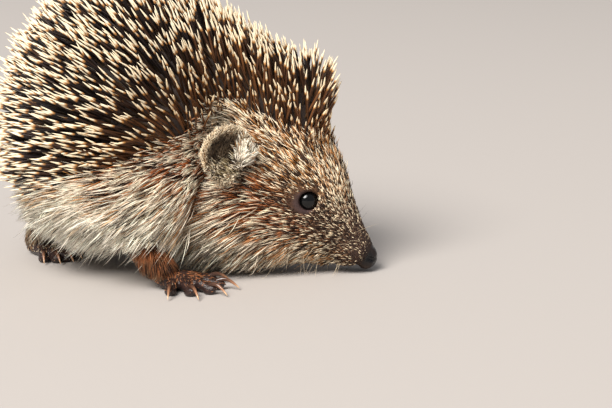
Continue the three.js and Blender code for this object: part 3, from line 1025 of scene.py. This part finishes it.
def grow_spines():
    """The spines of the rump, the back and the crown, shorter along their lower edge."""
    weight = np.clip(over_spine_edge(middle_place) / 2.5 + 0.6, 0, 1) * (ear_share(middles)[0] < 0.1)
    points, normal = scatter(weight, SPINE_TRIES)
    kept = spaced(points, SPINE_GAP * rng.uniform(0.9, 1.15, len(points)))
    points, normal = points[kept], normal[kept]
    place, _ = to_body(points)
    count = len(points)
    lie, values = blended(SPINES, place, 8.0)
    lean = np.radians(values[:, 0] + rng.normal(0, 6, count))
    length = values[:, 1] * rng.uniform(0.84, 1.08, count)
    ahead = place[:, 0] > CROWN_START
    edge = np.clip(over_spine_edge(place) / np.where(ahead, 12, 6), 0, 1)
    length *= np.where(ahead, 0.45, 0.7) + np.where(ahead, 0.55, 0.3) * edge
    first, along = lie_directions(points, normal, lie + rng.normal(0, 0.15, count), lean, 0.15)
    first = jitter(first, 0.11)
    bow = along * 0.05 + rng.normal(0, 0.02, first.shape)
    paths = strand_paths(points - normal * 0.6, first, bow, length, SPINE)
    thickness = rng.uniform(*SPINE_THICKNESS, count) * (0.7 + 0.3 * edge)
    tone = rng.random(count)
    colours = spine_colours(place)
    pieces = []
    from_rump = np.array_split(np.argsort(place[:, 0]), 3)
    for name, part in zip(("spines_rump", "spines_back", "spines_crown"), from_rump):
        pieces.append(strand_mesh(name, SPINE, paths[part], thickness[part], SPINE_SIDES, colours[part],
                                  tone[part], unwrapped(points[part])))
    return pieces


# ---- fur

STRAY_SHARE = 0.12
LEG_HAIR_TOP = 20


def hair_colours(shape, hair, draw, pale_share, dark_share):
    """Colours of each ring and the tip: a dark root, then a pale, a dark or a coloured hair. The root
    and the lower part are darker, partly the dark underfur and partly painted shade deep in the coat.
    """
    count = len(draw)
    light = mixed(CREAM, WHITE, pale_share)
    light = np.minimum(light * rng.uniform(0.9, 1.15, (count, 1)), 0.98)
    gloom = DARK * rng.uniform(0.3, 1.1, (count, 1))
    warm = hair * rng.uniform(0.7, 1.25, (count, 1))
    pale = (draw < pale_share)[:, None]
    dark = (draw > 1 - dark_share)[:, None]
    body = np.where(pale, light, np.where(dark, gloom, warm))
    tip = np.where(pale, light, np.where(dark, gloom * 1.4, warm * 0.7 + light * 0.3))
    # Painted shade: the root and the lower part are darkened for the shade deep in the coat, over the
    # dark underfur.
    root = body * 0.08 + BLACK * 0.4
    lower = body * 0.4 + warm * 0.25
    grown = steps(shape)[None, :-1, None]
    rings = root[:, None] + (lower - root)[:, None] * ramp(grown, 0, 0.3)
    rings = rings + (body[:, None] - rings) * ramp(grown, 0.3, 0.6)
    return np.concatenate([rings, tip[:, None]], axis=1)


def hair_width(length, draw, pale_share):
    """Hairs stand for fine tufts: the longer the thicker, and the pale ones stand out."""
    width = np.interp(length, (1, 4, 12), (0.2, 0.34, 0.44))
    return width * rng.uniform(0.75, 1.2, len(length)) * np.where(draw < pale_share, 1.25, 0.85)


def near_leg(points):
    """How near points are to where a front leg leaves the body, 0 to 1."""
    nearest = np.zeros(len(points))
    for side in (1, -1):
        x, y, z = in_paw(points, FRONT_PAW, side)
        away = np.hypot(x - FRONT_PAW["leg_lean"] * z / FRONT_PAW["leg_top"], y)
        nearest = np.maximum(nearest, ramp(away, 13, 9) * ramp(z, 30, 25))
    return nearest


def clear_length(place, points):
    """The longest a hair may be so that the eyes and the hollows of the ears stay clear."""
    longest = np.maximum(1.05 * (beside_eye(place) - 3.2), 0.8)
    for side in (1, -1):
        x, y, z = in_ear(points, side)
        from_ear = np.sqrt((x / 1.5) ** 2 + y**2 + z**2)
        longest = np.minimum(longest, 3.0 + 1.1 * np.maximum(from_ear - 8, 0))
    return longest


def fur_weight(place, points):
    """Where body fur grows at all, 0 to 1."""
    nose, lid = bare_zones(place)
    on_ear, on_limb = ear_share(points)[0], limb_share(points)[0]
    bare = (nose > 0.15) | (on_ear > 0.3) | (on_limb > 0.5) | (beside_eye(place) < EYE_RADIUS)
    return ramp(over_spine_edge(place), 5, 0) * (1 - 0.55 * lid) * ~bare


furry = fur_weight(middle_place, middles)


def flank_weight(side, low, high):
    """The flank of one side between two heights. The belly has few hairs."""
    x, y, z = columns(middle_place)
    here = (y * side > 0) * ramp(x, 28, 24) * np.clip((z - 12) / 4, 0.12, 1)
    return furry * here * ramp(z, low, low + 4) * ramp(z, high, high - 4)


def grow_body_fur(name, weight, shape, count, pull, spacing, alike):
    """Fur on one zone of the body, by the keys of the lie of the coat, in locks.

    pull draws a lock together, spacing is the distance between locks and alike is the share
    of a lock's hairs with one colour.
    """
    count = drafted(count)
    points, normal = scatter(weight, count)
    place, _ = to_body(points)
    lie, values = blended(FUR, place, 4.5)
    lean, length, pale_share, dark_share = values[:, :4].T
    lean = np.radians(np.clip(lean + rng.normal(0, 6, count), 5, 84))
    stray = rng.random(count) < STRAY_SHARE * np.clip(length / 10, 0, 1)
    length = length * rng.uniform(0.65, 1.2, count) * (1 - 0.5 * near_leg(points)) * (1 + 0.2 * stray)
    length = np.minimum(length, clear_length(place, points))
    first, along = lie_directions(points, normal, lie + rng.normal(0, 0.16, count), lean, 0.1, 0.9)
    first = jitter(first, (0.06 + 0.16 * stray)[:, None])
    droop = DOWN * 0.16 * np.clip(length / 15, 0, 1)[:, None]
    bow = (along - first) * 0.3 + droop + rng.normal(0, 0.05, first.shape)
    paths = strand_paths(points - normal * 0.25, first, bow, length, shape)
    pulls = pull * rng.uniform(0.3, 1.25, count) * ~stray
    paths, draw = in_locks(points, paths, shape, spacing, pulls, alike)
    colours = hair_colours(shape, values[:, 4:7], draw, pale_share, dark_share)
    width = hair_width(length, draw, pale_share) * (1 - 0.3 * stray)
    return hair_mesh(name, shape, over_floor(paths, 0.5), width, colours, unwrapped(points))


def grow_body_coat():
    """The fur of the muzzle, face and cheeks, and of each side's flank and long skirt."""
    x = middle_place[:, 0]
    cheeks = furry * ramp(x, 50, 46) * ramp(x, 24, 28)
    muzzle, face = furry * ramp(x, 62, 70), furry * ramp(x, 46, 50)
    pieces = [
        grow_body_fur("fur_muzzle", muzzle, SHORT_HAIR, 10000, pull=0.3, spacing=1.0, alike=0.1),
        grow_body_fur("fur_face", face, SHORT_HAIR, 18500, pull=0.45, spacing=1.2, alike=0.1),
        grow_body_fur("fur_cheeks", cheeks, LONG_HAIR, 11800, pull=0.6, spacing=2.0, alike=0.2),
    ]
    for side_name, side in (("right", -1), ("left", 1)):
        for zone, low, high, count in (("flank", 26, 90, 8600), ("skirt", -4, 30, 9000)):
            weight = flank_weight(side, low, high)
            pieces.append(grow_body_fur(f"fur_{zone}_{side_name}", weight, LONG_HAIR, count,
                                        pull=0.7, spacing=2.6, alike=0.35))
    return pieces


def leg_patch(points, which):
    """Places on an unwrap with a quarter of the map for each leg, round it and up it."""
    patch = np.empty((len(points), 2))
    for i, (paw, side) in enumerate(PAWS):
        here = which == i
        x, y, z = in_paw(points[here], paw, side)
        turn = np.arctan2(y, x - paw["leg_lean"] * z / paw["leg_top"])
        patch[here, 0] = 0.5 * (i % 2) + 0.006 + 0.484 * (turn / (2 * math.pi) + 0.5)
        patch[here, 1] = 0.5 * (i // 2) + 0.006 + 0.484 * ramp(z, 0, LEG_HAIR_TOP)
    return patch


def grow_limb_fur():
    """Short brown hair that runs down the legs to the toes."""
    count = drafted(8500)
    height = middles[:, 2]
    weight = (limb_share(middles)[0] > 0.4) * (height > 1.5) * (normals[:, 2] > -0.55)
    points, normal = scatter(weight * np.interp(height, (4, 8), (0.1, 1)), count)
    _, which = limb_share(points)
    height = points[:, 2]
    origin = np.zeros((count, 3))
    ahead = np.zeros((count, 3))
    for i, (paw, side) in enumerate(PAWS):
        _, to_frame = paw_frame(paw, side)
        origin[which == i] = to_frame((0, 0, 0))
        ahead[which == i] = to_frame((1, 0, 0)) - to_frame((0, 0, 0))
    outward = unit((points - origin) * (1, 1, 0))
    low = ramp(height, 8, 4)[:, None]
    along = on_skin(DOWN * (1 - low) + unit(outward + ahead * 0.5 + DOWN * 0.25) * low, normal)
    first = jitter(leaning(normal, along, np.radians(rng.normal(77, 4, count))), 0.06)
    length = np.interp(height, (2, 6, 12), (1.2, 2.8, 7.0)) * rng.uniform(0.7, 1.2, count)
    paths = strand_paths(points - normal * 0.2, first, (along - first) * 0.3, length, SHORT_HAIR)
    paths, draw = in_locks(points, paths, SHORT_HAIR, 1.6, 0.5 * rng.uniform(0.5, 1.2, count), 0.3)
    front = which < 2
    hair = np.where(front[:, None], FRONT_LEG_HAIR, HIND_LEG_HAIR)
    colours = hair_colours(SHORT_HAIR, hair, draw, np.where(front, 0.02, 0.25), np.full(count, 0.3))
    width = rng.uniform(0.2, 0.34, count)
    return hair_mesh("fur_legs", SHORT_HAIR, over_floor(paths, 0.4), width, colours,
                     leg_patch(points, which))


def ear_local(points):
    """Points in the frame of the ear on their own side."""
    place, _ = to_body(points)
    local = np.zeros(points.shape)
    for side in (1, -1):
        here = place[:, 1] * side > 0
        local[here] = np.stack(in_ear(points[here], side), axis=-1)
    return local


def ear_flow(points, normal, way, lean, spread):
    """First directions over the skin towards a way given in the ear's own frame."""
    place, _ = to_body(points)
    flow = np.zeros(points.shape)
    for side in (1, -1):
        here = place[:, 1] * side > 0
        _, to_frame = ear_frame(side)
        flow[here] = to_frame(way[here]) - to_frame((0, 0, 0))
    along = on_skin(flow, normal)
    return jitter(leaning(normal, along, np.radians(rng.normal(lean, 6, len(points)))), spread), along


def grow_ear_fur():
    """Short hair over the ears, pale on the rim and dark in the hollow, partly the hair's own tone and
    partly painted shade.
    """
    count = drafted(8500)
    share, rim, _ = ear_share(middles)
    points, normal = scatter((share > 0.3) * (0.7 + 1.0 * (rim > 0.85)), count)
    _, rim, face = ear_share(points)
    way = ear_local(points) - (-2, 0, -6)
    first, along = ear_flow(points, normal, way, 72, 0.14)
    length = np.where(rim > 0.85, 2.6, 2.2) * rng.uniform(0.6, 1.2, count)
    paths = strand_paths(points - normal * 0.15, first, (along - first) * 0.2, length, SHORT_HAIR)
    # Darker hair in the hollow: partly the hair's own tone, partly painted shade.
    inner = ramp(rim, 0.82, 0.62) * face
    draw = rng.random(count)
    hair = mixed(EAR_HAIR, EAR_HOLLOW_HAIR, inner)
    colours = hair_colours(SHORT_HAIR, hair, draw, 0.35 * (1 - inner), 0.1 + 0.45 * inner)
    width = rng.uniform(0.16, 0.28, count)
    return hair_mesh("fur_ears", SHORT_HAIR, paths, width, colours, unwrapped(points))


def grow_ear_tufts():
    """The pale tuft that rises from the ear's front edge, and olive hair in its lower part."""
    count = drafted(2600)
    x, y, z = columns(ear_local(middles))
    tuft = np.exp(-((y + 8.5) / 2.4) ** 2 - ((z + 5) / 5.0) ** 2 - (x / 5) ** 2)
    low = np.exp(-((y + 1) / 4.5) ** 2 - ((z + 6.5) / 2.2) ** 2 - (x / 3) ** 2)
    points, normal = scatter(np.maximum(tuft, 0.7 * low) * (ear_share(middles)[2] > 0.3), count)
    front = ear_local(points)[:, 1] < -5.5
    way = np.where(front[:, None], (0.5, 0.45, 0.85), (0.4, 0.75, 0.5))
    first, along = ear_flow(points, normal, way, 62, 0.15)
    length = np.where(front, 6.5, 4.0) * rng.uniform(0.6, 1.15, count)
    paths = strand_paths(points - normal * 0.2, first, (along - first) * 0.3, length, SHORT_HAIR)
    paths, draw = in_locks(points, paths, SHORT_HAIR, 1.5, 0.5 * rng.uniform(0.4, 1.2, count), 0.3)
    hair = np.where(front[:, None], TAN, EAR_OLIVE_HAIR)
    pale_share, dark_share = np.where(front, 0.75, 0.3), np.where(front, 0.08, 0.3)
    colours = hair_colours(SHORT_HAIR, hair, draw, pale_share, dark_share)
    width = hair_width(length, draw, pale_share)
    return hair_mesh("fur_ear_tufts", SHORT_HAIR, paths, width, colours, unwrapped(points))


# The whiskers of the muzzle and chin and the stray hairs of the throat: middle x and z,
# spread, count each side, length, lie, share outward, thickness, share of dark hairs.
WHISKERS = (
    (73, 13, 2.4, 9, 14.0, 58, 0.7, 0.10, 0.6),
    (70, 5, 3.0, 7, 9.0, 240, 0.5, 0.10, 0.25),
    (60, 4, 5.0, 10, 10.0, 236, 0.3, 0.11, 0.25),
    (44, 5, 7.0, 9, 13.0, 228, 0.3, 0.12, 0.25),
)


def grow_whiskers():
    all_paths, all_width, all_colour = [], [], []
    x, y, z = columns(middle_place)
    off_nose = bare_zones(middle_place)[0] < 0.1
    for mid_x, mid_z, spread, count, length, lie, outward, thick, dark_share in WHISKERS:
        for side in (1, -1):
            away = (x - mid_x) ** 2 + (z - mid_z) ** 2
            weight = np.exp(-away / (2 * spread**2)) * (y * side > 0.5) * off_nose
            points, normal = scatter(weight, count)
            turn = np.radians(lie + rng.normal(0, 16, count))
            _, heading = to_body(points)
            level = np.stack([np.cos(turn), np.full(count, side * outward), np.sin(turn)], axis=1)
            first = jitter(unit(turned(level, heading)) + normal * 0.5, 0.1)
            size = length * rng.uniform(0.6, 1.15, count)
            bow = DOWN * rng.uniform(0.0, 0.18, (count, 1)) + rng.normal(0, 0.06, (count, 3))
            all_paths.append(over_floor(strand_paths(points, first, bow, size, WHISKER), 0.4))
            all_width.append(np.full(count, thick))
            colour = np.where(rng.random((count, 1)) < dark_share, DARK_WHISKER, PALE_WHISKER)
            all_colour.append(np.repeat(colour[:, None], len(WHISKER) + 1, axis=1))
    paths, width, colours = (np.concatenate(rows) for rows in (all_paths, all_width, all_colour))
    tone = rng.random(len(paths))
    return strand_mesh("whiskers", WHISKER, paths, width, WHISKER_SIDES, colours, tone,
                       unwrapped(paths[:, 0]))


fur_pieces = grow_body_coat()
spine_pieces = grow_spines()
fur_pieces += [grow_limb_fur(), grow_ear_fur(), grow_ear_tufts(), grow_whiskers()]


# ---- eyes and claws

CLAW_RINGS, CLAW_SIDES = 14, 10
CLAW_RADIUS, CLAW_TIP_RADIUS = 1.12, 0.12
CLAW_ARCH = 2.0
CLAW_TIP_HEIGHT = 0.8


def make_eye(name, side):
    """An eyeball, its poles turned the way the lids open."""
    centre = to_model([EYE[0], side * EYE[1], EYE[2]])
    look = turned(unit(np.multiply(EYE_LOOK, (1, side, 1))), BEND / 2)
    bpy.ops.mesh.primitive_uv_sphere_add(segments=48, ring_count=32, radius=EYE_RADIUS * MM)
    eyeball = bpy.context.object
    eyeball.name = name
    eyeball.rotation_euler = Vector((0, 0, 1)).rotation_difference(Vector(look)).to_euler()
    eyeball.location = Vector(centre * MM)
    eyeball.data.polygons.foreach_set("use_smooth", np.ones(len(eyeball.data.polygons), bool))
    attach(eyeball, "root")
    return eyeball


def claw_points(paw, side, i):
    """A claw's rings: it rises off the toe's end and curves down to just over the floor."""
    way, _, tip = toe_line(paw, i)
    across = np.array([-way[1], way[0], 0])
    base = tip - way * 1.2
    base[2] = paw["toe_radius"] + 0.55
    s = np.linspace(0, 1, CLAW_RINGS)
    line = base + way * (paw["claw"] * 1.1 * s)[:, None]
    line[:, 2] += CLAW_ARCH * np.sin(s * math.pi) * (1 - 0.3 * s) - (base[2] - CLAW_TIP_HEIGHT) * s**2
    lift = np.cross(unit(np.gradient(line, axis=0)), across)
    lift *= np.sign(lift[:, 2:3] + 1e-9)
    radius = (CLAW_RADIUS * (1 - s) ** 0.7 + CLAW_TIP_RADIUS)[:, None, None]
    angle = np.arange(CLAW_SIDES) / CLAW_SIDES * 2 * math.pi
    flat = np.where(np.sin(angle) < 0, 0.72, 1.0)
    ring = (across * np.cos(angle)[:, None] * 0.8)[None] * radius
    ring = ring + lift[:, None] * (np.sin(angle) * flat)[None, :, None] * radius
    _, to_frame = paw_frame(paw, side)
    return to_frame((line[:, None] + ring).reshape(-1, 3))


def make_claws():
    all_points, quads, caps = [], [], []
    k = np.arange(CLAW_SIDES)
    ends = np.stack([k[::-1], k + (CLAW_RINGS - 1) * CLAW_SIDES])
    for paw, side in PAWS:
        for i in range(len(paw["toes"])):
            start = len(all_points) * CLAW_RINGS * CLAW_SIDES
            all_points.append(claw_points(paw, side, i))
            quads.append((tube_quads(CLAW_RINGS, CLAW_SIDES) + start)[:, ::side])
            caps.append((ends + start)[:, ::side])
    piece = make_mesh("claws", np.concatenate(all_points), [np.concatenate(quads), np.concatenate(caps)])
    along = np.repeat(np.linspace(0, 1, CLAW_RINGS), CLAW_SIDES)
    add_attribute(piece, "along", "FLOAT", np.tile(along, len(all_points)))
    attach(piece, "root")
    return piece


eyes = [make_eye("eyeball_left", 1), make_eye("eyeball_right", -1)]
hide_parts("eye_left")
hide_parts("eye_right")
claws = make_claws()
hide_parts(*(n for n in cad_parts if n.startswith("claw_")))

flesh = ["trunk", "neck", "crown", "head", "nose", "tail", "ear_left", "ear_right"]
flesh += [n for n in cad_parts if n.startswith(("leg_", "paw_"))]
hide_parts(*flesh)


# ---- materials


class Look:
    """A material and the nodes that feed its shader. Textures lie on the object's own place."""

    def __init__(self, name, roughness, specular):
        self.material = bpy.data.materials.new(name)
        self.material.use_nodes = True
        self.tree = self.material.node_tree
        self.shader = self.tree.nodes["Principled BSDF"]
        self.feed(self.shader, {"Roughness": roughness, "Specular IOR Level": specular})

    def feed(self, node, sockets):
        """Gives each named socket of a node a value or another node's output."""
        for name, value in sockets.items():
            if isinstance(value, bpy.types.NodeSocket):
                self.tree.links.new(value, node.inputs[name])
            else:
                node.inputs[name].default_value = value

    def add(self, kind, sockets):
        node = self.tree.nodes.new("ShaderNode" + kind)
        self.feed(node, sockets)
        return node

    def attribute(self, name, output):
        node = self.add("Attribute", {})
        node.attribute_name = name
        return node.outputs[output]

    def texture(self, kind, sockets, output):
        place = self.add("TexCoord", {}).outputs["Object"]
        return self.add(kind, {"Vector": place, **sockets}).outputs[output]

    def remap(self, value, low, high, to_low, to_high):
        ends = {"From Min": low, "From Max": high, "To Min": to_low, "To Max": to_high}
        return self.add("MapRange", {"Value": value, **ends}).outputs["Result"]

    def noise(self, scale, detail, low, high):
        """Noise as a value that goes from low to high."""
        fac = self.texture("TexNoise", {"Scale": scale, "Detail": detail}, "Fac")
        return self.remap(fac, 0.3, 0.7, low, high)

    def tint(self, colour, amount):
        """Colours the shader, brightened or darkened by a value."""
        node = self.add("VectorMath", {})
        node.operation = "SCALE"
        self.feed(node, {0: colour, "Scale": amount})
        self.feed(self.shader, {"Base Color": node.outputs["Vector"]})

    def dress(self, *pieces):
        for piece in pieces:
            piece.data.materials.clear()
            piece.data.materials.append(self.material)


def skin_look():
    """Mottled skin with a fine grain, wet on the nose, the toes and the rim of the eye."""
    look = Look("hedgehog_skin", 0.7, 0.4)
    look.tint(look.attribute("colour_and_shade", "Color"), look.noise(900, 4, 0.7, 1.25))
    grain = look.texture("TexVoronoi", {"Scale": 3200}, "Distance")
    bump = look.add("Bump", {"Strength": 0.5, "Distance": 0.0002, "Height": grain})
    roughness = look.remap(look.attribute("wet", "Fac"), 0, 1, 0.72, 0.2)
    look.feed(look.shader, {"Roughness": roughness, "Normal": bump.outputs["Normal"]})
    return look


def hair_look(name, roughness, variation):
    look = Look(name, roughness, 0.3)
    tone = look.remap(look.attribute("tone", "Fac"), 0, 1, 1 - variation, 1 + variation)
    look.tint(look.attribute("colour_and_shade", "Color"), tone)
    look.feed(look.shader, {"Roughness": look.noise(2500, 2, roughness - 0.1, roughness + 0.12)})
    return look


def eye_look():
    """Black and glossy, with a trace of the iris."""
    look = Look("eye_black", 0.05, 0.4)
    iris = look.noise(700, 2, 0.001, 0.004)
    colour = look.add("CombineColor", {"Red": iris, "Green": iris, "Blue": iris})
    look.feed(look.shader, {"Base Color": colour.outputs["Color"]})
    return look


def claw_look():
    """Horn, dark at the root and pale at the tip."""
    look = Look("claw_horn", 0.2, 0.5)
    ramp_node = look.add("ValToRGB", {"Fac": look.attribute("along", "Fac")})
    stops = ((0.0, (40, 29, 26)), (0.5, (88, 60, 46)), (0.8, (166, 118, 86)), (1.0, (238, 200, 158)))
    elements = ramp_node.color_ramp.elements
    for position, _ in stops[1:-1]:
        elements.new(position)
    for element, (position, colour) in zip(elements, stops):
        element.position = position
        element.color = (*linear(*colour), 1)
    look.tint(ramp_node.outputs["Color"], look.noise(1500, 3, 0.8, 1.15))
    return look


skin_look().dress(skin)
eye_look().dress(*eyes)
claw_look().dress(claws)
hair_look("hedgehog_fur", 0.5, 0.15).dress(*fur_pieces)
hair_look("hedgehog_spine", 0.38, 0.12).dress(*spine_pieces)
for piece in fur_pieces:
    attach(piece, "root")
for piece in spine_pieces:
    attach(piece, "root")


# ---- camera, floor and light

LENS, SENSOR, PICTURE_WIDTH = 100, 36, 612
DISTANCE = 612.0
PIXEL = DISTANCE * SENSOR / LENS / PICTURE_WIDTH
EYE_RIGHT_OF_AIM, EYE_ABOVE_AIM = 1, 4
FLOOR_HALF = 4000


def view_axes(azimuth, elevation):
    """The camera's right, up and backward directions."""
    a, e = math.radians(azimuth), math.radians(elevation)
    back = Vector((math.sin(a) * math.cos(e), -math.cos(a) * math.cos(e), math.sin(e)))
    right = Vector((math.cos(a), math.sin(a), 0))
    return right, back.cross(right), back


def add_camera():
    """The camera aims just beside and below the right eye."""
    data = bpy.data.cameras.new("camera")
    data.sensor_width = SENSOR
    data.lens = LENS
    data.clip_end = 20
    camera = add_object("camera", data)
    aim = Vector(to_model(right_eye)) - (right * EYE_RIGHT_OF_AIM + above * EYE_ABOVE_AIM) * PIXEL
    camera.location = (aim + back * DISTANCE) * MM
    camera.rotation_euler = back.to_track_quat("Z", "Y").to_euler()
    bpy.context.scene.camera = camera


def add_floor():
    corners = [(-1, -1, 0), (1, -1, 0), (1, 1, 0), (-1, 1, 0)]
    floor = make_mesh("floor", np.array(corners) * FLOOR_HALF, [np.array([[0, 1, 2, 3]])], smooth=False)
    look = Look("floor_pale", 0.85, 0.2)
    look.feed(look.shader, {"Base Color": (*linear(184, 177, 171), 1)})
    look.dress(floor)
    floor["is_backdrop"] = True


def add_light(name, direction, distance, size, power, colour):
    """A round lamp at a distance in metres that faces the animal."""
    data = bpy.data.lights.new(name, "AREA")
    data.shape = "DISK"
    data.size = size
    data.energy = power
    data.color = colour
    lamp = add_object(name, data)
    way = direction.normalized()
    lamp.location = Vector(to_model([20, 0, 40])) * MM + way * distance
    lamp.rotation_euler = way.to_track_quat("Z", "Y").to_euler()


right, above, back = view_axes(20, 13)
add_camera()
add_floor()
add_light("key", back * 0.75 + above * 0.53 - right * 0.40, 6.0, 3.1, 430, (1.0, 0.965, 0.92))
add_light("panel", back * 0.75 + above * 0.62 - right * 0.24, 6.4, 3.8, 280, (0.99, 0.985, 0.98))
world = bpy.data.worlds.new("world")
world.use_nodes = True
world.node_tree.nodes["Background"].inputs["Color"].default_value = (0.93, 0.95, 1.0, 1)
world.node_tree.nodes["Background"].inputs["Strength"].default_value = 0.34
bpy.context.scene.world = world
bpy.context.scene.view_settings.view_transform = "Standard"

boxes = {"cad": cad_box, "visual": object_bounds()}
{name: [list(corner) for corner in corners] for name, corners in boxes.items()}
